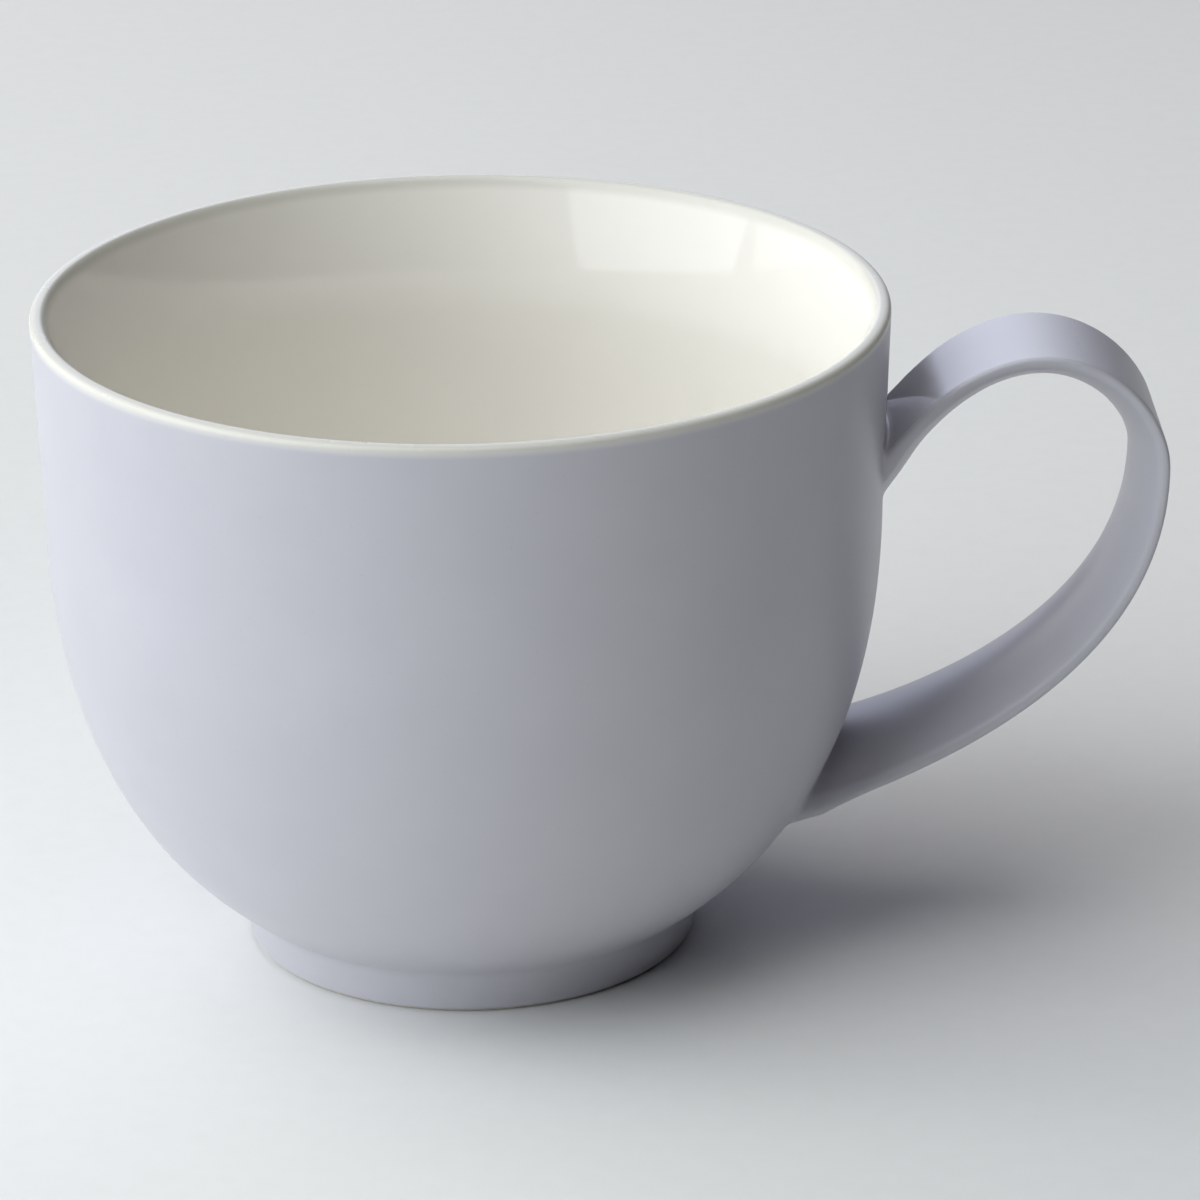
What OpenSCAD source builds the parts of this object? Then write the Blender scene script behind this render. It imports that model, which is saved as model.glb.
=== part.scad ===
// Cappuccino cup: a glazed stoneware bowl on a foot ring, with a strap handle luted to its side.
// Units are millimetres. The cup stands on the plane z = 0 and the handle points along +X.

/* [Bowl] */
// Height from the table to the top of the lip
cup_height = 75.5; // [68:0.5:90]
// Outside radius just under the lip
rim_radius = 48; // [44:0.5:54]
// How far the upper wall leans out between the shoulder and the lip
rim_flare = 0.8; // [0:0.1:2.5]
// Height at which the wall turns upright
shoulder_height = 54; // [46:0.5:58]
// How far below the table the wall's curve would close
curve_below = 1.6; // [0.5:0.1:6]
// Exponent of the wall's curve: higher is squarer
wall_squareness = 2.33; // [2:0.01:2.8]
// Wall thickness at the shoulder, coats included
wall = 5; // [4.4:0.1:6.4]
// Wall thickness just under the lip, coats included
lip_wall = 2.2; // [2:0.1:3]
// Height over which the lip rounds on the outside
lip_outer_drop = 0.9; // [0.8:0.1:2]
// Height over which the lip rounds on the inside
lip_inner_drop = 2.4; // [1.6:0.1:4]
// Exponent of the lip's outer rounding: higher leaves its top flatter
lip_squareness = 3; // [2:0.1:3.2]
// Height over the shoulder at which the inside starts to lean out
flare_rise = 6; // [2:0.5:8]
// Outward lean of the inside just under the lip, degrees
inside_lean = 20; // [14:1:24]
// Height of the inside floor above the table
inside_floor = 9.6; // [9:0.1:13]

/* [Foot] */
// Height of the foot ring
foot_height = 5.3; // [4:0.1:6.5]
// Step from the bowl's curve in to the foot ring
foot_step = 0.3; // [0.1:0.1:1]
// How far the foot ring draws in from its top to where its coat ends
foot_taper = 0.8; // [0.2:0.1:4]
// Width of the foot ring at its top
foot_width = 5; // [4:0.1:7]
// Height of the bare clay edge at the table
dry_edge = 0.4; // [0.3:0.1:1.6]
// Rounding of the standing edge
foot_round = 0.25; // [0.1:0.05:0.35]

/* [Handle] */
// Height at which the strap's middle line leaves the bowl at the top
upper_root_height = 57.9; // [54:0.1:62]
// Upward lean of the strap at the upper root, degrees
upper_root_lean = 55; // [44:1:60]
// Pull of the path at the upper root
upper_pull = 25.7; // [20:0.1:30]
// Distance from the cup's axis to the far side of the strap's middle line
handle_reach = 78; // [73:0.1:90]
// Height of that far point
reach_height = 57; // [50:0.5:60]
// Pull of the path above the far point
reach_pull_up = 9.5; // [7:0.1:16]
// Pull of the path below the far point
reach_pull_down = 25; // [20:0.1:30]
// Height at which the strap's middle line meets the bowl at the bottom
lower_root_height = 19; // [16:0.1:23]
// Rise of the strap at the lower root, degrees
lower_root_lean = 16; // [10:1:28]
// Pull of the path at the lower root
lower_pull = 10.5; // [6:0.1:14]
// Width of the strap at its upper end
strap_width_upper = 16.2; // [12:0.1:20]
// Width of the strap at its lower end
strap_width_lower = 25.5; // [18:0.1:28]
// Thickness of the strap at its edges
strap_edge = 1.7; // [1.3:0.1:3]
// Swelling of the strap's inner face
inner_crown = 2.3; // [1:0.1:3.5]

/* [Joints] */
// Length of the slip joint at the upper root
upper_joint_length = 5; // [4:0.1:8]
// Length of the slip joint at the lower root
lower_joint_length = 7; // [6:0.1:9]
// How far the slip joints spread where they meet the bowl
joint_flare = 0.4; // [0.2:0.1:1.5]

/* [Glaze] */
// Thickness of every coat
glaze = 0.4; // [0.2:0.05:0.5]

/* [Hidden] */
$fn = 96;
// Overrun of cutting shapes and of the strap into the bowl
overrun = 9;
// Turn that puts the seam of the round pieces away from the handle
seam_turn = 180;
// Shares and counts of steps
lip_crest_share = 0.5;
lip_coat_share = 0.6;
far_share = 0.5;
flare_ease = 0.25;
width_power = 2.8;
bisections = 14;
curve_steps = 22;
flare_steps = 8;
lip_steps = 8;
path_steps = 15;
joint_steps = 5;
face_steps = 7;
edge_steps = 4;

belly = rim_radius - rim_flare;
curve_drop = shoulder_height + curve_below;
inside_belly = belly - wall;
inside_rim = rim_radius - lip_wall;
inside_drop = shoulder_height - inside_floor;
flare_height = shoulder_height + flare_rise;
lip_crest = rim_radius - lip_wall*lip_crest_share;
lip_outer_start = cup_height - lip_outer_drop;
lip_inner_start = cup_height - lip_inner_drop;
root_turn = acos(pow((shoulder_height - foot_height)/curve_drop, wall_squareness/2));
foot_top = side_radius(foot_height) - foot_step;
foot_radius = foot_top - foot_taper;
foot_inner = foot_radius - foot_width;

// Profiles: lists of [radius, height]

// Outside of the wall at a turn of the curve: 90 degrees is the shoulder
function wall_point(turn) = [
    belly*pow(sin(turn), 2/wall_squareness),
    shoulder_height - curve_drop*pow(cos(turn), 2/wall_squareness)
];

// Outside radius of the wall at a height below the shoulder
function wall_radius(z) =
    belly*pow(1 - pow((shoulder_height - z)/curve_drop, wall_squareness), 1/wall_squareness);

// Outside radius at any height up to the lip
function side_radius(z) =
    z < shoulder_height
        ? wall_radius(z)
        : belly + rim_flare*(z - shoulder_height)/(lip_outer_start - shoulder_height);

// Inside of the bowl up to the shoulder: flat floor, quick turn, then upright
function inside_point(turn) = [
    inside_belly*sqrt(sin(turn)),
    shoulder_height - inside_drop*cos(turn)
];

function inside_lip_point(turn) = [
    lip_crest - (lip_crest - inside_rim)*cos(turn),
    lip_inner_start + lip_inner_drop*sin(turn)
];

// Inside above the shoulder: upright, then leaning out until it runs into the lip's rounding
lip_first_turn = atan(tan(inside_lean)*lip_inner_drop/(lip_crest - inside_rim));
flare_top = inside_lip_point(lip_first_turn);
flare_bend_height = max(
    flare_height + flare_ease*(flare_top.y - flare_height),
    flare_top.y - (flare_top.x - inside_belly)/tan(inside_lean)
);
function flare_point(t) =
    [inside_belly, flare_height]*pow(1 - t, 2)
    + 2*[inside_belly, flare_bend_height]*t*(1 - t)
    + flare_top*pow(t, 2);

function outside_lip_point(turn) = [
    lip_crest + (rim_radius - lip_crest)*pow(cos(turn), 2/lip_squareness),
    lip_outer_start + lip_outer_drop*pow(sin(turn), 2/lip_squareness)
];

// Surface of the coats, from the middle of the floor over the lip to the foot
inside_line = concat(
    [for (i = [0:curve_steps]) inside_point(90*i/curve_steps)],
    [for (i = [0:flare_steps]) flare_point(i/flare_steps)],
    [for (i = [1:lip_steps]) inside_lip_point(lip_first_turn + (90 - lip_first_turn)*i/lip_steps)],
    [for (i = [1:lip_steps]) outside_lip_point(90 - 90*lip_coat_share*i/lip_steps)]
);
outside_line = concat(
    [for (i = [1:lip_steps]) outside_lip_point(90*(1 - lip_coat_share)*(1 - i/lip_steps))],
    [for (i = [0:curve_steps]) wall_point(90 - (90 - root_turn)*i/curve_steps)]
);
surface = concat(inside_line, outside_line);
liner_last = len(inside_line) - 1;
root_last = len(surface) - 1;

// Outward normal of the surface line at a point, from its neighbours
function line_normal(i) =
    let(
        a = surface[max(i - 1, 0)],
        b = surface[min(i + 1, root_last)],
        d = (b - a)/norm(b - a)
    )
    i == 0 ? [0, 1] : [-d.y, d.x];

// Clay under the coats; the last point is kept on top of the foot ring
clay_root = side_radius(foot_height) - foot_step/2 - glaze;
clay = [
    for (i = [0:root_last])
        i == root_last ? [clay_root, foot_height] : surface[i] - glaze*line_normal(i)
];

function span(line, first, last) = [for (i = [first:last]) line[i]];
function reversed(line) = [for (i = [len(line) - 1:-1:0]) line[i]];

// Strap: path in the XZ plane, section across it

function bezier(a, b, c, d, t) =
    a*pow(1 - t, 3) + 3*b*pow(1 - t, 2)*t + 3*c*(1 - t)*pow(t, 2) + d*pow(t, 3);
function bezier_run(a, b, c, d, t) =
    (b - a)*pow(1 - t, 2) + 2*(c - b)*(1 - t)*t + (d - c)*pow(t, 2);

upper_root = [side_radius(upper_root_height), upper_root_height];
lower_root = [side_radius(lower_root_height), lower_root_height];
far_point = [handle_reach, reach_height];
upper_way = [cos(upper_root_lean), sin(upper_root_lean)];
lower_way = [cos(lower_root_lean), sin(lower_root_lean)];
up = [0, 1];
upper_arc = [upper_root, upper_root + upper_pull*upper_way, far_point + reach_pull_up*up, far_point];
lower_arc = [far_point, far_point - reach_pull_down*up, lower_root + lower_pull*lower_way, lower_root];

// A station is [middle, direction, share of the way, spread at the joint]
function arc_station(arc, t, from, to) =
    let(run = bezier_run(arc[0], arc[1], arc[2], arc[3], t))
    [bezier(arc[0], arc[1], arc[2], arc[3], t), run/norm(run), from + (to - from)*t, 0];

function arc_length_to(arc, t) =
    let(
        n = path_steps,
        p = [for (i = [0:n]) bezier(arc[0], arc[1], arc[2], arc[3], t*i/n)]
    )
    [for (i = [1:n]) norm(p[i] - p[i - 1])]*[for (i = [1:n]) 1];

// Share of an arc at which its length first reaches a distance
function share_at(arc, distance, low, high, tries) =
    let(middle = (low + high)/2)
    tries == 0
        ? middle
        : arc_length_to(arc, middle) < distance
            ? share_at(arc, distance, middle, high, tries - 1)
            : share_at(arc, distance, low, middle, tries - 1);

upper_start = share_at(upper_arc, upper_joint_length, 0, 1, bisections);
lower_arc_back = reversed(lower_arc);
lower_stop = 1 - share_at(lower_arc_back, lower_joint_length, 0, 1, bisections);

function spread(left) = joint_flare*pow(left, 2);

upper_joint_stations = concat(
    [[upper_root - overrun*upper_way, upper_way, 0, joint_flare]],
    [for (i = [0:joint_steps])
        let(s = arc_station(upper_arc, upper_start*i/joint_steps, 0, far_share))
        [s[0], s[1], s[2], spread(1 - i/joint_steps)]]
);
strap_stations = concat(
    [for (i = [0:path_steps])
        arc_station(upper_arc, upper_start + (1 - upper_start)*i/path_steps, 0, far_share)],
    [for (i = [1:path_steps])
        arc_station(lower_arc, lower_stop*i/path_steps, far_share, 1)]
);
lower_joint_stations = concat(
    [for (i = [0:joint_steps])
        let(s = arc_station(lower_arc, lower_stop + (1 - lower_stop)*i/joint_steps, far_share, 1))
        [s[0], s[1], s[2], spread(i/joint_steps)]],
    [[lower_root - overrun*lower_way, -lower_way, 1, joint_flare]]
);
all_stations = concat(
    span(upper_joint_stations, 0, joint_steps),
    strap_stations,
    span(lower_joint_stations, 1, joint_steps + 1)
);

// Section of the strap as [across, out]: flat outside, swollen inside, with round edges
function section(width, edge) =
    let(
        e = edge/2,
        half = width/2 - e,
        lean = atan(2*inner_crown/half),
        edge_turn = 180 - lean,
        inner_half = half + e*sin(lean)
    )
    concat(
        [[-half, e], [half, e]],
        [for (i = [1:edge_steps - 1])
            let(a = 90 - edge_turn*i/edge_steps)
            [half + e*cos(a), e*sin(a)]],
        [for (i = [0:face_steps])
            let(s = 1 - 2*i/face_steps)
            [inner_half*s, -e*cos(lean) - inner_crown*(1 - s*s)]],
        [for (i = [1:edge_steps - 1])
            let(a = lean - 90 + edge_turn*i/edge_steps)
            [-half - e*cos(a), e*sin(a)]]
    );

function strap_width(share) =
    strap_width_upper + (strap_width_lower - strap_width_upper)*pow(share, width_power);

// Ring of points round a station; cover is the coat over the clay
function ring(station, cover) =
    let(
        grow = 2*station[3] - 2*(glaze - cover),
        way = station[1],
        out = [-way.y, way.x],
        outline = section(strap_width(station[2]) + grow, strap_edge + grow)
    )
    [for (p = outline)
        let(q = station[0] + p.y*out) [q.x, p.x, q.y]];

ring_size = len(section(strap_width_upper, strap_edge));

function side_faces(rings, first, flip) = [
    for (r = [0:rings - 2], i = [0:ring_size - 1])
        let(
            j = (i + 1) % ring_size,
            a = first + r*ring_size + i,
            b = first + r*ring_size + j,
            c = b + ring_size,
            d = a + ring_size
        )
        each flip ? [[a, c, b], [a, d, c]] : [[a, b, c], [a, c, d]]
];

module sweep(stations, cover) {
    rings = len(stations);
    points = [for (s = stations) each ring(s, cover)];
    first_end = [for (i = [ring_size - 1:-1:0]) i];
    last_end = [for (i = [0:ring_size - 1]) (rings - 1)*ring_size + i];
    polyhedron(points, concat([first_end, last_end], side_faces(rings, 0, false)));
}

// Coat round the strap: an outer sweep and an inner one, closed by a flat ring at each end
module sweep_coat(stations) {
    rings = len(stations);
    inner = rings*ring_size;
    points = concat(
        [for (s = stations) each ring(s, glaze)],
        [for (s = stations) each ring(s, 0)]
    );
    last = (rings - 1)*ring_size;
    ends = [
        for (i = [0:ring_size - 1])
            let(j = (i + 1) % ring_size)
            each [
                [i, inner + j, j], [i, inner + i, inner + j],
                [last + i, last + j, inner + last + j], [last + i, inner + last + j, inner + last + i]
            ]
    ];
    polyhedron(points, concat(side_faces(rings, 0, false), side_faces(rings, inner, true), ends));
}

// The bowl's outside below the lip, filled in, for trimming the handle's ends
module filled_bowl(line) {
    rotate(seam_turn)
        rotate_extrude()
            polygon(concat(
                [[0, foot_height], [0, line[liner_last].y]],
                span(line, liner_last, root_last)
            ));
}

// Nodes

module bowl() {
    color("#d8cfc0")
        rotate_extrude()
            polygon(concat(clay, [[0, foot_height]]));
}

module foot_ring() {
    clay_side = foot_radius - glaze;
    color("#d8cfc0")
        rotate_extrude()
            polygon([
                [foot_inner, foot_height],
                [foot_top - glaze, foot_height],
                [clay_side, dry_edge],
                [clay_side, foot_round],
                [clay_side - foot_round, 0],
                [foot_inner + foot_round, 0],
                [foot_inner, foot_round]
            ]);
}

module handle() {
    color("#d8cfc0")
        sweep(strap_stations, 0);
}

module upper_slip_joint() {
    color("#cbbfae")
        difference() {
            sweep(upper_joint_stations, 0);
            filled_bowl(clay);
        }
}

module lower_slip_joint() {
    color("#cbbfae")
        difference() {
            sweep(lower_joint_stations, 0);
            filled_bowl(clay);
        }
}

module liner_glaze() {
    color("#f2efe6")
        rotate_extrude()
            polygon(concat(
                span(surface, 0, liner_last),
                reversed(span(clay, 0, liner_last))
            ));
}

module outer_glaze() {
    color("#a9a7b5")
        difference() {
            rotate(seam_turn)
                rotate_extrude()
                    polygon(concat(
                        span(surface, liner_last, root_last),
                        [[foot_top, foot_height - foot_step], [foot_radius, dry_edge]],
                        [[foot_radius - glaze, dry_edge], [foot_top - glaze, foot_height]],
                        reversed(span(clay, liner_last, root_last))
                    ));
            sweep(upper_joint_stations, 0);
            sweep(lower_joint_stations, 0);
        }
}

module handle_glaze() {
    color("#a9a7b5")
        difference() {
            sweep_coat(all_stations);
            filled_bowl(surface);
        }
}

module base_glaze() {
    color("#a9a7b5")
        rotate_extrude()
            polygon([
                [0, foot_height],
                [foot_inner, foot_height],
                [foot_inner, dry_edge],
                [foot_inner - glaze, dry_edge],
                [foot_inner - glaze, foot_height - glaze],
                [0, foot_height - glaze]
            ]);
}

bowl();
foot_ring();
handle();
upper_slip_joint();
lower_slip_joint();
liner_glaze();
outer_glaze();
handle_glaze();
base_glaze();
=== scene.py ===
# %% [markdown]
# # A glazed cappuccino cup, dressed over its CAD model
# The cup is a bowl of fired clay on a foot ring, with a strap handle stuck on by wet slip.
# What the eye meets is glaze: a warm white liner inside and over the lip, and a lavender grey
# satin glaze on the rest, down to a narrow dry edge where the cup stood in the kiln.
# The CAD model holds the clay pieces, so they stay as they are, under the coats made here.
# The cup's lengths are in millimetres until they become vertices, because a potter measures in
# millimetres and Blender in metres. The floor and the lights are given in metres.

# %% Load the CAD frame
import math

import bmesh
import bpy
from mathutils import Matrix, Vector


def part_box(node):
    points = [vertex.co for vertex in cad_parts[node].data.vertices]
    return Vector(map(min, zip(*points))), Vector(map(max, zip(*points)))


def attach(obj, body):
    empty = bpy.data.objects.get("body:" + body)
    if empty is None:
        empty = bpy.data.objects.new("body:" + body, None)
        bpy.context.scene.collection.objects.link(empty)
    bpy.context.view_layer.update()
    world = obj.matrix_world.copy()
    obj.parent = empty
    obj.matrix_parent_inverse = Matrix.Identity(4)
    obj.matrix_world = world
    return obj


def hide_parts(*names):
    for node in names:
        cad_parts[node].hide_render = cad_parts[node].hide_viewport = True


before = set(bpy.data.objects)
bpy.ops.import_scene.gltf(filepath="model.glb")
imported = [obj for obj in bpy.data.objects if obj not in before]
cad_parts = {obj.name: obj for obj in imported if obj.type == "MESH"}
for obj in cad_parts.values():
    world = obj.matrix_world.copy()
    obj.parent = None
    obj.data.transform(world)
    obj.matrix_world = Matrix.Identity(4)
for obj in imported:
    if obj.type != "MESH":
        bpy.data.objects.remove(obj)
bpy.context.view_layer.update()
mm = 0.001


def in_mm(corner):
    """A corner in metres as rounded millimetres, for printing."""
    return [round(c / mm, 2) for c in corner]


# %% [markdown]
# ## The bowl's outside line
# A cup like this is pressed or cast against a mould that was turned on a lathe, so one line,
# turned round the axis, gives its whole outside. The line could be drawn by eye as a Bezier
# curve, but a squared-off ellipse needs only three sizes and matches the CAD wall exactly:
# it is flat under the cup, turns quickly, and stands upright at the shoulder.
# Above the shoulder the wall leans out by less than a millimetre, up to the lip. The lip has a
# nearly flat top and a tight outer corner, so its outer rounding is a squared-off ellipse too.

# %% Outside line
rim_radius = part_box("outer_glaze")[1].y / mm
cup_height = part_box("liner_glaze")[1].z / mm
foot_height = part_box("base_glaze")[1].z / mm
rim_flare = 0.8
shoulder_height = 54.0
curve_below = 1.6
wall_squareness = 2.33
lip_outer_drop = 0.9
lip_wall = 2.2
lip_squareness = 3.0

belly = rim_radius - rim_flare
curve_drop = shoulder_height + curve_below
lip_start = cup_height - lip_outer_drop
lip_crest = rim_radius - lip_wall / 2


def wall_radius(z):
    """Outside radius of the bowl at a height up to the lip."""
    if z > shoulder_height:
        return belly + rim_flare * (z - shoulder_height) / (lip_start - shoulder_height)
    drop = (shoulder_height - z) / curve_drop
    return belly * (1 - drop ** wall_squareness) ** (1 / wall_squareness)


def wall_point(turn):
    """A point of the outside line: a quarter turn is the shoulder, nought the bottom of the curve."""
    power = 2 / wall_squareness
    return belly * math.sin(turn) ** power, shoulder_height - curve_drop * math.cos(turn) ** power


def lip_point(turn):
    """A point of the lip's outer rounding: nought is its foot, a quarter turn its crest."""
    power = 2 / lip_squareness
    return (lip_crest + (rim_radius - lip_crest) * max(math.cos(turn), 0) ** power,
            lip_start + lip_outer_drop * math.sin(turn) ** power)


def between(first, last, steps):
    """Evenly spaced numbers from first to last, both included."""
    return [first + (last - first) * i / steps for i in range(steps + 1)]


quarter = math.pi / 2
root_turn = math.acos(((shoulder_height - foot_height) / curve_drop) ** (wall_squareness / 2))
print("rim radius", round(rim_radius, 2), "radius at the foot", round(wall_radius(foot_height), 2))

# %% [markdown]
# ## Turning a line into a coat
# A spun line is what a lathe does. Screw and Spin modifiers would do it too, but spinning in
# bmesh leaves a plain mesh whose seam can be welded, and whose corners can be rounded on the
# line itself, where a bevel is one small arc instead of a ring of faces.
# Glaze is about a third of a millimetre thick, so the coat then gets that thickness inwards.

# %% Spin a line and finish a piece
spin_steps = 288
rounding_segments = 6
weld = 0.004
coat = 0.35


def spin_line(points, roundings=()):
    """Spins (radius, height) points round the cup's axis; roundings are (place in the line, size)."""
    bm = bmesh.new()
    line = [bm.verts.new((radius * mm, 0, height * mm)) for radius, height in points]
    for start, end in zip(line, line[1:]):
        bm.edges.new((start, end))
    for place, size in roundings:
        bmesh.ops.bevel(bm, geom=[line[place]], offset=size * mm, affect="VERTICES",
                        segments=rounding_segments, profile=0.5, material=-1)
    bmesh.ops.spin(bm, geom=bm.verts[:] + bm.edges[:], axis=(0, 0, 1), cent=(0, 0, 0),
                   angle=2 * math.pi, steps=spin_steps, use_merge=True)
    return bm


def finish_piece(name, bm, slot, *nodes):
    """Welds the bmesh, turns it outwards and makes it a smooth piece that stands for CAD nodes."""
    bmesh.ops.remove_doubles(bm, verts=bm.verts, dist=weld * mm)
    bmesh.ops.recalc_face_normals(bm, faces=bm.faces)
    for face in bm.faces:
        face.smooth = True
    mesh = bpy.data.meshes.new(name)
    bm.to_mesh(mesh)
    bm.free()
    piece = bpy.data.objects.new(name, mesh)
    bpy.context.collection.objects.link(piece)
    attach(piece, "root")
    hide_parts(*nodes)
    print(name, "has", len(mesh.polygons), "faces and stands for", ", ".join(nodes))
    return piece


def give_thickness(piece, thickness):
    """Thickens an open coat inwards, so that its outer face stays where it is."""
    shell = piece.modifiers.new("coat", "SOLIDIFY")
    shell.thickness = thickness * mm
    shell.offset = -1


print("a spin step is", round(2 * math.pi * rim_radius / spin_steps, 2), "mm long at the rim")

# %% [markdown]
# ## The outer coat
# The satin glaze runs from just under the lip down the bowl, turns in at the foot and stops
# above the table, where the potter wiped it off. Two corners of its line are rounded: glaze
# pools in the crease over the foot, and draws back into a soft bead at the dry edge.

# %% Outer coat
dry_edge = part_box("base_glaze")[0].z / mm
foot_taper = 0.8
foot_step = 0.3
liner_lap_share = 0.6
crease_round = 0.9
bead_round = 0.22
seam_step = math.radians(0.5)
corner_steps = 9
wall_steps = 56

foot_top = wall_radius(foot_height) - foot_step
foot_radius = foot_top - foot_taper
seam_turn = quarter * (1 - liner_lap_share)
outer_line = [lip_point(seam_turn)]
outer_line += [lip_point(turn) for turn in between(seam_turn - seam_step, 0, corner_steps)]
outer_line += [wall_point(turn) for turn in between(quarter, root_turn, wall_steps)[:-1]]
crease = len(outer_line)
outer_line += [(foot_top, foot_height - foot_step), (foot_radius, dry_edge), (foot_radius - coat, dry_edge)]
outer_coat = finish_piece(
    "outer_coat",
    spin_line(outer_line, [(crease, crease_round), (crease + 1, bead_round)]),
    "outer_glaze", "outer_glaze")
give_thickness(outer_coat, coat)

# %% [markdown]
# ## The liner
# The white glaze is poured in and out again, so it covers the floor, the inside and the lip.
# The inside is not the outside moved in: the wall is about 5 mm thick at the shoulder and thins
# to half of that at the lip, so the top of the inside leans out by 20 degrees. That lean is
# what lets the upper inside mirror the room, while the rest of it mirrors the cup itself. The
# wall is a quarter of a millimetre thinner here than in the CAD model, to place that mirror.

# %% Liner
inside_floor = 9.6
wall = 4.75
lip_inner_drop = 2.4
flare_rise = 6.0
inside_lean = math.radians(20)
inside_steps = 44
flare_steps = 24
crest_steps = 14

inside_belly = belly - wall
inside_rim = rim_radius - lip_wall
flare_height = shoulder_height + flare_rise


def inside_point(turn):
    """A point of the inside line, from the middle of the floor (nought) to the shoulder."""
    return (inside_belly * math.sqrt(math.sin(turn)),
            shoulder_height - (shoulder_height - inside_floor) * math.cos(turn))


def inside_lip_point(turn):
    """A point of the lip's inner rounding."""
    return (lip_crest - (lip_crest - inside_rim) * math.cos(turn),
            cup_height - lip_inner_drop * (1 - math.sin(turn)))


lip_first_turn = math.atan(math.tan(inside_lean) * lip_inner_drop / (lip_crest - inside_rim))
flare_top = inside_lip_point(lip_first_turn)
flare_bend = flare_top[1] - (flare_top[0] - inside_belly) / math.tan(inside_lean)


def flare_point(t):
    """A point of the curve that leans out over the upright wall, up to the lip."""
    bend = 2 * t * (1 - t)
    return (inside_belly * (1 - t * t) + flare_top[0] * t * t,
            flare_height * (1 - t) ** 2 + flare_bend * bend + flare_top[1] * t * t)


liner_line = [inside_point(quarter * share ** 2) for share in between(0, 1, inside_steps)]
liner_line += [flare_point(t) for t in between(0, 1, flare_steps)]
liner_line += [inside_lip_point(turn) for turn in between(lip_first_turn, quarter, crest_steps)[1:]]
liner_line += [lip_point(turn) for turn in between(quarter, seam_turn + seam_step, crest_steps)[1:]]
liner_line += [lip_point(seam_turn)]
liner = finish_piece("liner", spin_line(liner_line), "liner_glaze", "liner_glaze")
give_thickness(liner, coat)
print("liner floor faces up:", liner.data.polygons[0].normal.z > 0)

# %% [markdown]
# ## The dry foot and the base
# The foot ring is trimmed from the same clay and is left bare where it stands. Its standing
# edges are worn round, so the ring is a closed line with its two lower corners bevelled.
# The recess inside the ring gets the same satin glaze as the outside, up to the dry edge.

# %% Foot ring
foot_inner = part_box("base_glaze")[1].x / mm
stand_round = 0.3
stand_lean = 0.1
stand_corners = (3, 4)

clay_side = foot_radius - coat
foot_line = [
    (foot_inner, foot_height), (foot_top - coat, foot_height), (clay_side, dry_edge),
    (clay_side - stand_lean, 0), (foot_inner + stand_lean, 0), (foot_inner, dry_edge),
    (foot_inner, foot_height),
]
dry_foot = finish_piece(
    "dry_foot_ring",
    spin_line(foot_line, [(corner, stand_round) for corner in stand_corners]),
    "clay", "foot_ring")

# %% Base coat
recess_round = 1.2
recess_corner = 1
bead_corner = 2

base_line = [
    (0, foot_height - coat), (foot_inner - coat, foot_height - coat),
    (foot_inner - coat, dry_edge), (foot_inner, dry_edge),
]
base_coat = finish_piece(
    "base_coat",
    spin_line(base_line, [(recess_corner, recess_round), (bead_corner, bead_round)]),
    "outer_glaze", "base_glaze")
give_thickness(base_coat, coat)

# %% [markdown]
# ## The strap's path
# The handle is a pulled strap of clay. Its middle line is two cubic curves that meet at the
# point farthest from the cup, where the strap runs straight down. Past each end the line goes
# straight on into the wall, so every corner of the strap can be followed until it meets the bowl.

# %% Strap path
upper_root_height = 57.9
upper_root_lean = math.radians(55)
upper_pull = 25.7
handle_reach = 78.0
reach_height = 57.0
reach_pull_up = 9.5
reach_pull_down = 25.0
lower_root_height = 19.0
lower_root_lean = math.radians(16)
lower_pull = 10.5
half_way = 0.5

up = Vector((0, 1))
upper_root = Vector((wall_radius(upper_root_height), upper_root_height))
lower_root = Vector((wall_radius(lower_root_height), lower_root_height))
far_point = Vector((handle_reach, reach_height))
upper_way = Vector((math.cos(upper_root_lean), math.sin(upper_root_lean)))
lower_way = Vector((math.cos(lower_root_lean), math.sin(lower_root_lean)))
upper_arc = (upper_root, upper_root + upper_pull * upper_way, far_point + reach_pull_up * up, far_point)
lower_arc = (far_point, far_point - reach_pull_down * up, lower_root + lower_pull * lower_way, lower_root)


def on_arc(a, b, c, d, t):
    """Place and slope on a cubic curve; past its ends it goes straight on."""
    held = min(max(t, 0), 1)
    left = 1 - held
    place = a * left ** 3 + 3 * b * left ** 2 * held + 3 * c * left * held ** 2 + d * held ** 3
    slope = 3 * ((b - a) * left ** 2 + 2 * (c - b) * left * held + (d - c) * held ** 2)
    return place + slope * (t - held), slope


def strap_middle(share):
    """Middle line at a share of the way from the upper root (0) to the lower root (1)."""
    if share < half_way:
        place, slope = on_arc(*upper_arc, 2 * share)
    else:
        place, slope = on_arc(*lower_arc, 2 * share - 1)
    return place, 2 * slope


print("strap leaves the bowl at", [round(c, 1) for c in upper_root],
      "and comes back at", [round(c, 1) for c in lower_root])

# %% [markdown]
# ## The strap's section
# Across, the strap is flat outside, where it was pressed smooth, and full inside, where the
# finger bears. Pressing leaves a tight corner outside, and the inner corner is a softer round
# that runs into the full face without a break. The strap widens towards the lower root, slowly
# at first and then quickly. Close to each root it also swells by a few tenths of a millimetre,
# because there the glaze lies on the slip that joins the strap to the bowl.
# The points crowd together near the edges, so that smooth shading leaves the flat face flat.

# %% Strap section
strap_width_upper = 16.2
strap_width_lower = 25.5
strap_edge = 1.7
outer_corner = 0.45
inner_crown = 2.3
width_power = 2.8
upper_joint_length = 5.0
lower_joint_length = 7.0
joint_flare = 0.4
face_steps = 14
edge_steps = 5


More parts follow.
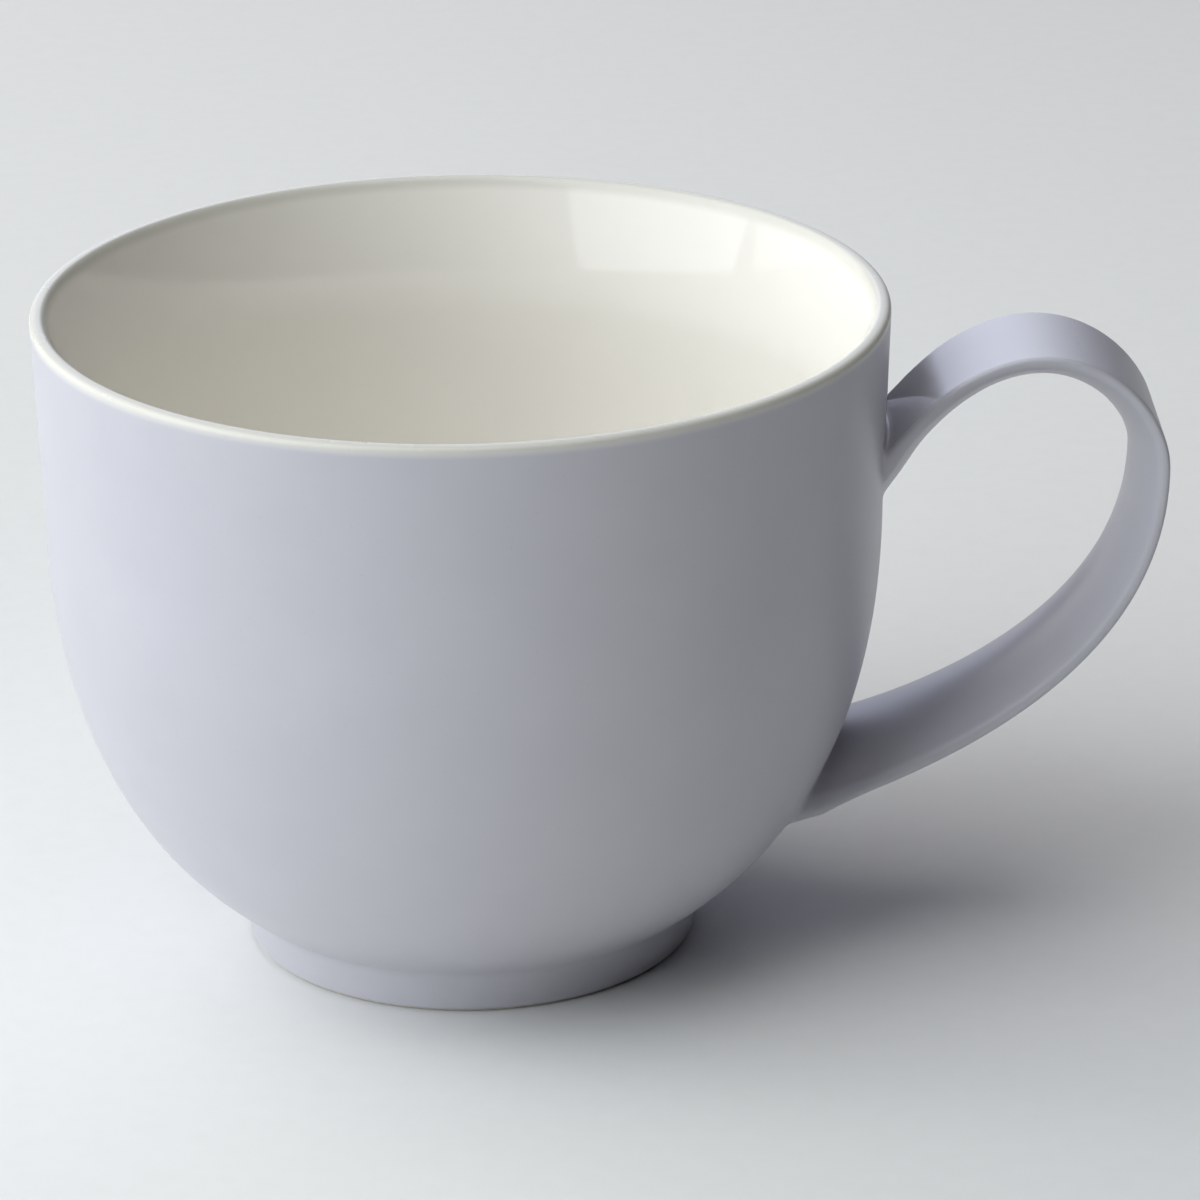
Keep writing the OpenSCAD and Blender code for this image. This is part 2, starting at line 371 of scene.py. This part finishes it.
def strap_section(width, edge):
    """Points (across, out) once round a strap of a width and a thickness at its edges."""
    side, out = width / 2, edge / 2
    inner_corner = edge - outer_corner
    lean = math.atan(2 * inner_crown / (side - inner_corner))
    inner_side = side - inner_corner * (1 - math.sin(lean))
    inner_out = out - inner_corner * (1 - math.cos(lean))
    shares = [math.sin(turn) for turn in between(-quarter, quarter, face_steps)]
    outer_face = [((side - outer_corner) * s, out) for s in shares]
    far_edge = [(side - outer_corner * (1 - math.cos(turn)), out - outer_corner * (1 - math.sin(turn)))
                for turn in between(quarter, 0, edge_steps)[1:]]
    far_edge += [(side - inner_corner * (1 - math.cos(turn)), inner_corner * (1 + math.sin(turn)) - out)
                 for turn in between(0, lean - quarter, edge_steps)[1:-1]]
    inner_face = [(-inner_side * s, -inner_out - inner_crown * (1 - s * s)) for s in shares]
    near_edge = [(-across, out) for across, out in reversed(far_edge)]
    return outer_face + far_edge + inner_face + near_edge


def joint_spread(share, middle):
    """How far the joining slip spreads the strap near a root, and inside the wall."""
    if share < half_way:
        root, length = upper_root, upper_joint_length
    else:
        root, length = lower_root, lower_joint_length
    away = (middle - root).length if 0 < share < 1 else 0
    return joint_flare * max(1 - away / length, 0) ** 2


def strap_point(share, corner):
    """Where a corner of the section lies at a share of the way, as a vector in millimetres."""
    middle, slope = strap_middle(share)
    way = slope.normalized()
    held = min(max(share, 0), 1)
    width = strap_width_upper + (strap_width_lower - strap_width_upper) * held ** width_power
    grow = 2 * joint_spread(share, middle)
    across, out = strap_section(width + grow, strap_edge + grow)[corner]
    return Vector((middle.x - way.y * out, across, middle.y + way.x * out))


corners = len(strap_section(strap_width_upper, strap_edge))
print("the strap's section has", corners, "points")

# %% [markdown]
# ## The strap's skin
# The strap could be a curve with a bevel shape, but then its ends would only poke into the
# bowl. Here a flat grid is wrapped round the strap instead: each lengthwise line of the grid
# is a rail that is followed until it meets the bowl, and there a small fillet of slip carries
# it over onto the wall. Slip gathers most in a sharp crevice, so the fillet is larger where the
# rail leans over the wall. The wrapped edges are welded, and the skin gets the coat's thickness.
# The flat outer face was pressed smooth, so the glaze lies flatter on it than anywhere else.
# The pressing dies out over the top of the loop. An attribute called pressed, which falls from
# one to nought there, marks that face for the glaze's material.

# %% Strap rails
fillet = 0.7
crevice_gain = 1.5
under_share = 1.4
fillet_steps = 7
strap_steps = 110
sink = 0.06
search = 0.2
halvings = 30


def outside_bowl(point):
    """How far a point stands out from the bowl's wall."""
    return math.hypot(point.x, point.y) - wall_radius(point.z)


def on_bowl(point, depth):
    """The point moved straight towards the axis or away from it, to a depth under the wall."""
    pull = (wall_radius(point.z) - depth) / math.hypot(point.x, point.y)
    return Vector((point.x * pull, point.y * pull, point.z))


def share_at_wall(corner, deep, clear):
    """Share of the way at which a rail crosses the wall, between a deep share and a clear one."""
    for _ in range(halvings):
        middle = (deep + clear) / 2
        if outside_bowl(strap_point(middle, corner)) < 0:
            deep = middle
        else:
            clear = middle
    return middle


def fillet_rail(corner, hit, toward):
    """A rail's end, from under the wall round the fillet to the strap, and the share where it ends."""
    tip = strap_point(hit, corner)
    section_line = strap_point(hit, (corner + 1) % corners) - strap_point(hit, corner - 1)
    radial = Vector((tip.x, tip.y, 0)).normalized()
    slope = (wall_radius(tip.z + sink) - wall_radius(tip.z - sink)) / (2 * sink)
    wall_normal = (radial - Vector((0, 0, slope))).normalized()
    away = (wall_normal.cross(section_line) * toward).normalized()
    run = strap_middle(hit)[1].length
    rail_way = (strap_point(hit + toward * sink / run, corner) - tip).normalized()
    size = fillet * (1 + crevice_gain * max(away.dot(rail_way), 0))
    end = hit + toward * size / run
    land = on_bowl(tip + away * size, 0)
    under = on_bowl(tip + away * size * under_share, sink)
    leave = strap_point(end, corner)
    arc = [land * (1 - t) ** 2 + tip * 2 * t * (1 - t) + leave * t * t for t in between(0, 1, fillet_steps)]
    return [under] + arc, end


def strap_rail(corner):
    """One lengthwise line of the strap's skin, from wall to wall."""
    upper_end, first = fillet_rail(corner, share_at_wall(corner, -search, search), 1)
    lower_end, last = fillet_rail(corner, share_at_wall(corner, 1 + search, 1 - search), -1)
    run = [strap_point(share, corner) for share in between(first, last, strap_steps)[1:-1]]
    return upper_end + run + lower_end[::-1]


rails = [strap_rail(corner) for corner in range(corners)]
rail_steps = len(rails[0]) - 1
print("each of", corners, "rails has", rail_steps, "steps")

# %% Strap skin
pressed_until = 0.18
pressed_gone = 0.3
grid_half = 0.5


def pressed_share(step):
    """How smooth the outer face is at a step of the rails: the pressing dies out over the loop's top."""
    share = (pressed_gone - step / rail_steps) / (pressed_gone - pressed_until)
    return min(max(share, 0), 1)


bm = bmesh.new()
bmesh.ops.create_grid(bm, x_segments=rail_steps, y_segments=corners, size=grid_half)
pressed = bm.verts.layers.float.new("pressed")
for vert in bm.verts:
    along = round((vert.co.x + grid_half) * rail_steps)
    around = round((vert.co.y + grid_half) * corners) % corners
    vert.co = rails[around][along] * mm
    vert[pressed] = (around <= face_steps) * pressed_share(along)
strap_skin = finish_piece("strap_skin", bm, "outer_glaze", "handle_glaze")
give_thickness(strap_skin, coat)

# %% [markdown]
# ## Colours and nodes
# Hex colours are what a screen shows, so they are turned to linear light before a shader gets
# them. One function adds any node: its inputs are numbers, colours or another node's output.

# %% Helpers for materials
def colour(hex_code):
    """An sRGB hex colour as linear red, green, blue and alpha."""
    parts = [int(hex_code[i:i + 2], 16) / 255 for i in (1, 3, 5)]
    return [p / 12.92 if p <= 0.04045 else ((p + 0.055) / 1.055) ** 2.4 for p in parts] + [1]


def per_metre(size):
    """Texture scale that gives features of a size in millimetres on Object coordinates."""
    return 1 / (size * mm)


def add(tree, kind, inputs, **settings):
    """Adds a node, sets its settings and fills its inputs with values or links."""
    node = tree.nodes.new(kind)
    for name, value in settings.items():
        setattr(node, name, value)
    for socket, value in inputs.items():
        if isinstance(value, bpy.types.NodeSocket):
            tree.links.new(value, node.inputs[socket])
        else:
            node.inputs[socket].default_value = value
    return node


def new_material(name):
    """An empty node material with its Principled shader."""
    material = bpy.data.materials.new(name)
    material.use_nodes = True
    return material, material.node_tree, material.node_tree.nodes["Principled BSDF"]


def wear(piece, material):
    """Gives a piece its one material."""
    piece.data.materials.clear()
    piece.data.materials.append(material)


print("a screen's mid grey is", round(colour("#808080")[0], 3), "in linear light")

# %% [markdown]
# ## Where the two glazes meet
# Just outside the crest of the lip the white and the lavender run together over about a
# millimetre. Painting the join on a UV map would do, but both coats would need the same map.
# Here the fade is worked out from the place on the cup, in the same way in both coats, so the
# seam between them doesn't show. Molten glaze also runs off the lip and leaves it thin there.

# %% Fade and thin glaze at the lip
white_depth = 0.3
fade_depth = 1.1
thin_depth = 1.4
lip_wobble = 0.1
wobble_size = 6


def lip_fade(tree, place, outside):
    """How far white has given way to lavender: nought on the lip and inside, one below the fade."""
    split = add(tree, "ShaderNodeSeparateXYZ", {0: place}).outputs
    wobble = add(tree, "ShaderNodeTexNoise", {
        "Vector": place, "Scale": per_metre(wobble_size)}).outputs["Fac"]
    height = add(tree, "ShaderNodeMath", {0: wobble, 1: lip_wobble * mm, 2: split["Z"]},
                 operation="MULTIPLY_ADD").outputs[0]
    fade_top = (cup_height - white_depth + lip_wobble / 2) * mm
    coloured = add(tree, "ShaderNodeMapRange", {
        "Value": height, "From Min": fade_top, "From Max": fade_top - fade_depth * mm,
    }, interpolation_type="SMOOTHSTEP").outputs[0]
    if outside:
        return coloured
    flat = add(tree, "ShaderNodeCombineXYZ", {"X": split["X"], "Y": split["Y"]}).outputs[0]
    radius = add(tree, "ShaderNodeVectorMath", {0: flat}, operation="LENGTH").outputs["Value"]
    beyond = add(tree, "ShaderNodeMath", {0: radius, 1: lip_crest * mm}, operation="GREATER_THAN")
    return add(tree, "ShaderNodeMath", {0: coloured, 1: beyond.outputs[0]},
               operation="MULTIPLY").outputs[0]


def lip_thinness(tree, place):
    """How thin the glaze has run: one on the lip, nought below it."""
    height = add(tree, "ShaderNodeSeparateXYZ", {0: place}).outputs["Z"]
    thin_top = (cup_height - white_depth) * mm
    return add(tree, "ShaderNodeMapRange", {
        "Value": height, "From Min": thin_top - thin_depth * mm, "From Max": thin_top,
    }, interpolation_type="SMOOTHSTEP").outputs[0]


print("white fades to lavender from", round(cup_height - white_depth, 2), "mm down to",
      round(cup_height - white_depth - fade_depth, 2), "mm above the table")

# %% [markdown]
# ## The glazes' colour
# Fired glaze is never one even colour. It is a little darker where it lies thicker, in clouds
# about a centimetre wide, and a few specks of iron come up from the clay. Where it is thin, on
# the lip, the clay shows through and makes it cream.

# %% Glaze colour
lavender = "#cbcad1"
lavender_thick = "#c3c2ca"
white = "#f8f5ee"
white_thick = "#f4f1e9"
lip_tone = "#dedcd3"
speck_tone = "#8f8c96"
speck_spacing = 1.4
speck_edge = 0.09
speck_core = 0.05


def glaze_tone(tree, place, coloured, thin, cloud, specks):
    """The glaze's colour: clouded white and lavender, cream where it is thin, and faint specks."""
    inner_tone = add(tree, "ShaderNodeMix", {0: cloud, 6: colour(white), 7: colour(white_thick)},
                     data_type="RGBA").outputs[2]
    inner_tone = add(tree, "ShaderNodeMix", {0: thin, 6: inner_tone, 7: colour(lip_tone)},
                     data_type="RGBA").outputs[2]
    outer_tone = add(tree, "ShaderNodeMix", {0: cloud, 6: colour(lavender), 7: colour(lavender_thick)},
                     data_type="RGBA").outputs[2]
    tone = add(tree, "ShaderNodeMix", {0: coloured, 6: inner_tone, 7: outer_tone},
               data_type="RGBA").outputs[2]
    grains = add(tree, "ShaderNodeTexVoronoi", {
        "Vector": place, "Scale": per_metre(speck_spacing)}).outputs["Distance"]
    speck = add(tree, "ShaderNodeMapRange", {
        "Value": grains, "From Min": speck_edge, "From Max": speck_core, "To Max": specks}).outputs[0]
    return add(tree, "ShaderNodeMix", {0: speck, 6: tone, 7: colour(speck_tone)},
               data_type="RGBA").outputs[2]


print("specks are about", round(2 * speck_edge * speck_spacing, 2), "mm across")

# %% [markdown]
# ## The glazes' gloss
# Both glazes are glass over clay, so they are dielectrics with an index near 1.5. The liner is
# a clear gloss over white. The outside is a satin: fine crystals in the melt scatter what falls
# on it. Only on the strap's pressed face is it flat enough to mirror at a glancing angle, so
# there its roughness falls as the surface turns away from the eye. The thin glaze on the lip
# has less gloss than the liner below it. A faint bump, like orange peel, is left by the melt.

# %% Glaze gloss
even_blend = 0.5
glance_start = 0.5
glance_full = 0.72
pressed_gloss = 0.02
thin_roughness = 0.25
cloud_gloss = 0.04


def glaze_gloss(tree, thin, cloud, roughness):
    """The glaze's roughness: less where the pressed face is seen aslant, and its own on the lip."""
    facing = add(tree, "ShaderNodeLayerWeight", {"Blend": even_blend}).outputs["Facing"]
    glancing = add(tree, "ShaderNodeMapRange", {
        "Value": facing, "From Min": glance_start, "From Max": glance_full,
    }, interpolation_type="SMOOTHSTEP").outputs[0]
    pressed_face = add(tree, "ShaderNodeAttribute", {}, attribute_name="pressed").outputs["Fac"]
    mirrored = add(tree, "ShaderNodeMath", {0: glancing, 1: pressed_face},
                   operation="MULTIPLY").outputs[0]
    gloss = add(tree, "ShaderNodeMapRange", {
        "Value": mirrored, "To Min": roughness, "To Max": pressed_gloss}).outputs[0]
    gloss = add(tree, "ShaderNodeMix", {0: thin, 2: gloss, 3: thin_roughness}).outputs[0]
    return add(tree, "ShaderNodeMath", {0: cloud, 1: cloud_gloss, 2: gloss},
               operation="MULTIPLY_ADD").outputs[0]


print("the pressed face starts to mirror", round(math.degrees(math.acos(1 - glance_start))),
      "degrees from straight on")

# %% Glazes
cloud_size = 12
cloud_detail = 5
cloud_roughness = 0.6
peel_size = 2.4
peel_detail = 2
peel_depth = 0.0025


def make_glaze(name, outside, roughness, specks, index):
    """A glaze coat: white over the lip, lavender below it on the outside of the cup."""
    material, tree, shader = new_material(name)
    place = add(tree, "ShaderNodeTexCoord", {}).outputs["Object"]
    cloud = add(tree, "ShaderNodeTexNoise", {
        "Vector": place, "Scale": per_metre(cloud_size), "Detail": cloud_detail,
        "Roughness": cloud_roughness}).outputs["Fac"]
    coloured = lip_fade(tree, place, outside)
    thin = lip_thinness(tree, place)
    tone = glaze_tone(tree, place, coloured, thin, cloud, specks)
    tree.links.new(tone, shader.inputs["Base Color"])
    tree.links.new(glaze_gloss(tree, thin, cloud, roughness), shader.inputs["Roughness"])
    peel = add(tree, "ShaderNodeTexNoise", {
        "Vector": place, "Scale": per_metre(peel_size), "Detail": peel_detail}).outputs["Fac"]
    bump = add(tree, "ShaderNodeBump", {"Height": peel, "Distance": peel_depth * mm})
    tree.links.new(bump.outputs[0], shader.inputs["Normal"])
    shader.inputs["IOR"].default_value = index
    return material


satin_glaze = make_glaze("lavender_satin_glaze", outside=True, roughness=0.32, specks=0.12, index=1.5)
liner_glaze = make_glaze("white_gloss_glaze", outside=False, roughness=0.06, specks=0.03, index=1.42)
for piece in (outer_coat, strap_skin, base_coat):
    wear(piece, satin_glaze)
wear(liner, liner_glaze)
print("glazes:", satin_glaze.name, liner_glaze.name)

# %% [markdown]
# ## Bare clay and slip
# This fired stoneware is matt and pale, between grey and cream. Its fine grit shows where no
# glaze covers it: here only on the standing edge. One noise gives the grit its colour, its bump
# and its roughness. The joining slip is the same clay, sieved finer. Both also go on
# the CAD pieces under the coats, so that a cut through the cup would show the right stuff.

# %% Clay
clay_tone = "#dcd8d2"
clay_shade = "#cbc6be"
slip_tone = "#d3cec6"
grit_detail = 4
grit_strength = 0.6
grit_depth = 0.05
clay_roughness = (0.75, 0.95)


def make_clay(name, tone, shade, grit):
    """Matt fired clay with a grit of a size in millimetres."""
    material, tree, shader = new_material(name)
    place = add(tree, "ShaderNodeTexCoord", {}).outputs["Object"]
    grain = add(tree, "ShaderNodeTexNoise", {
        "Vector": place, "Scale": per_metre(grit), "Detail": grit_detail}).outputs["Fac"]
    mixed = add(tree, "ShaderNodeMix", {0: grain, 6: colour(tone), 7: colour(shade)}, data_type="RGBA")
    tree.links.new(mixed.outputs[2], shader.inputs["Base Color"])
    bump = add(tree, "ShaderNodeBump", {
        "Height": grain, "Strength": grit_strength, "Distance": grit_depth * mm})
    tree.links.new(bump.outputs[0], shader.inputs["Normal"])
    rough = add(tree, "ShaderNodeMapRange", {
        "Value": grain, "To Min": clay_roughness[0], "To Max": clay_roughness[1]})
    tree.links.new(rough.outputs[0], shader.inputs["Roughness"])
    return material


bare_clay = make_clay("fired_stoneware", clay_tone, clay_shade, grit=0.5)
joining_slip = make_clay("fired_slip", slip_tone, clay_shade, grit=0.2)
wear(dry_foot, bare_clay)
for name in ("bowl", "handle"):
    wear(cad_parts[name], bare_clay)
for name in ("upper_slip_joint", "lower_slip_joint"):
    wear(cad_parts[name], joining_slip)
print("clay:", bare_clay.name, joining_slip.name)

# %% [markdown]
# ## Floor
# A product photograph stands on paper. A large pale sheet, matt and nearly white, throws
# enough light up under the bowl to keep its lower half from going dark.

# %% Floor
floor_half = 2.0
paper_tone = "#f2f2f0"
fibre_tone = "#eeeeec"
fibre_size = 3
paper_roughness = 0.9

bm = bmesh.new()
bmesh.ops.create_grid(bm, x_segments=1, y_segments=1, size=floor_half)
floor_mesh = bpy.data.meshes.new("floor")
bm.to_mesh(floor_mesh)
bm.free()
floor = bpy.data.objects.new("floor", floor_mesh)
bpy.context.collection.objects.link(floor)
paper, tree, shader = new_material("white_paper")
place = add(tree, "ShaderNodeTexCoord", {}).outputs["Object"]
fibre = add(tree, "ShaderNodeTexNoise", {
    "Vector": place, "Scale": per_metre(fibre_size)}).outputs["Fac"]
mixed = add(tree, "ShaderNodeMix", {0: fibre, 6: colour(paper_tone), 7: colour(fibre_tone)},
            data_type="RGBA")
tree.links.new(mixed.outputs[2], shader.inputs["Base Color"])
shader.inputs["Roughness"].default_value = paper_roughness
wear(floor, paper)
print("floor is", 2 * floor_half, "m wide")

# %% [markdown]
# ## Camera
# The camera stands in front of the cup, with the handle to the right, and looks down on it
# from a little over 21 degrees through a long lens. It is aimed past the cup: a point on the cup's
# axis falls left of the picture's middle, which leaves room for the handle, and the camera
# hangs about one degree out of level.

# %% Camera
image_size = 1200
focal_pixels = 5978
camera_distance = 680.8
camera_rise = math.radians(21.633)
camera_roll = math.radians(-1.113)
aim_height = 36.96
aim_pixel = (466.4, 619.6)

offset_x = image_size / 2 - aim_pixel[0]
offset_y = aim_pixel[1] - image_size / 2
swing = -math.atan(offset_x / focal_pixels)
tilt = math.atan(offset_y / math.hypot(focal_pixels, offset_x))
turned = (Matrix.Rotation(quarter - camera_rise, 4, "X") @ Matrix.Rotation(swing, 4, "Y")
          @ Matrix.Rotation(tilt, 4, "X") @ Matrix.Rotation(camera_roll, 4, "Z"))
spot = Vector((0, -camera_distance * math.cos(camera_rise),
               aim_height + camera_distance * math.sin(camera_rise))) * mm
camera_data = bpy.data.cameras.new("camera")
camera_data.sensor_fit = "HORIZONTAL"
camera_data.lens = camera_data.sensor_width * focal_pixels / image_size
camera = bpy.data.objects.new("camera", camera_data)
camera.matrix_world = Matrix.Translation(spot) @ turned
bpy.context.collection.objects.link(camera)
bpy.context.scene.camera = camera
print("camera at", in_mm(spot), "with a lens of", round(camera_data.lens, 1), "mm")

# %% [markdown]
# ## Light
# A tall softbox at the left does most of the work, and its front edge is what the liner mirrors
# under the rim. It is a little cool, so the lavender looks bluer on the lit side. A plain panel
# behind the cup on the left carries the light on round the back, and a weak one overhead lifts
# the shaded inside.

# %% Light
def add_softbox(name, bearing, rise, distance, size, watts, tint):
    """An area light at a bearing (degrees from the camera's side, left negative) that faces the cup."""
    data = bpy.data.lights.new(name, "AREA")
    data.shape = "RECTANGLE"
    data.size, data.size_y = size
    data.energy = watts
    data.color = colour(tint)[:3]
    lamp = bpy.data.objects.new(name, data)
    turn = math.radians(bearing)
    lift = math.radians(rise)
    level = math.cos(lift)
    toward = Vector((math.sin(turn) * level, -math.cos(turn) * level, math.sin(lift)))
    lamp.location = toward * distance + Vector((0, 0, aim_height * mm))
    lamp.rotation_euler = toward.to_track_quat("Z", "Y").to_euler()
    lamp.visible_camera = False
    bpy.context.collection.objects.link(lamp)


add_softbox("left_softbox", bearing=-63, rise=33, distance=1.3,
            size=(1.38, 1.7), watts=18.8, tint="#f5fbff")
add_softbox("back_left_panel", bearing=-122, rise=28, distance=1.3,
            size=(1.34, 1.3), watts=9, tint="#ffffff")
add_softbox("top_fill", bearing=0, rise=85, distance=1.5,
            size=(1.2, 1.2), watts=6.2, tint="#ffffff")

# %% [markdown]
# ## Backdrop
# A white panel stands behind the cup. It is far away, so it is painted on the world instead of
# being built: its brightness depends only on the way one looks. The strap's flat top mirrors
# it. At the left the panel ends in a sharp upright edge, which shows on the strap close to the
# upper root, and to the right it fades out, so the strap darkens slowly over its far bend.

# %% Backdrop
backdrop_level = 1.45
backdrop_tint = "#e0e6ff"
left_edge = math.radians(-18)
edge_blur = 0.015
fade_start = math.radians(-4)
fade_end = math.radians(32)
back_none = 0.6
back_full = 0.95

world = bpy.data.worlds.new("white_backdrop")
world.use_nodes = True
tree = world.node_tree
look = add(tree, "ShaderNodeTexCoord", {}).outputs["Generated"]
sides = add(tree, "ShaderNodeSeparateXYZ", {0: look}).outputs
ahead = add(tree, "ShaderNodeMapRange", {
    "Value": sides["Y"], "From Min": back_none, "From Max": back_full, "To Max": backdrop_level,
}, interpolation_type="SMOOTHSTEP").outputs[0]
from_left = add(tree, "ShaderNodeMapRange", {
    "Value": sides["X"], "From Min": math.sin(left_edge) - edge_blur,
    "From Max": math.sin(left_edge) + edge_blur}, interpolation_type="SMOOTHSTEP").outputs[0]
to_right = add(tree, "ShaderNodeMapRange", {
    "Value": sides["X"], "From Min": math.sin(fade_end), "From Max": math.sin(fade_start),
}, interpolation_type="SMOOTHSTEP").outputs[0]
beside = add(tree, "ShaderNodeMath", {0: from_left, 1: to_right}, operation="MULTIPLY").outputs[0]
level = add(tree, "ShaderNodeMath", {0: beside, 1: ahead}, operation="MULTIPLY").outputs[0]
backdrop = tree.nodes["Background"]
tree.links.new(level, backdrop.inputs["Strength"])
backdrop.inputs["Color"].default_value = colour(backdrop_tint)
bpy.context.scene.world = world
bpy.context.scene.view_settings.view_transform = "Standard"
print("panel ends", round(-math.degrees(left_edge), 1), "degrees left of straight back")
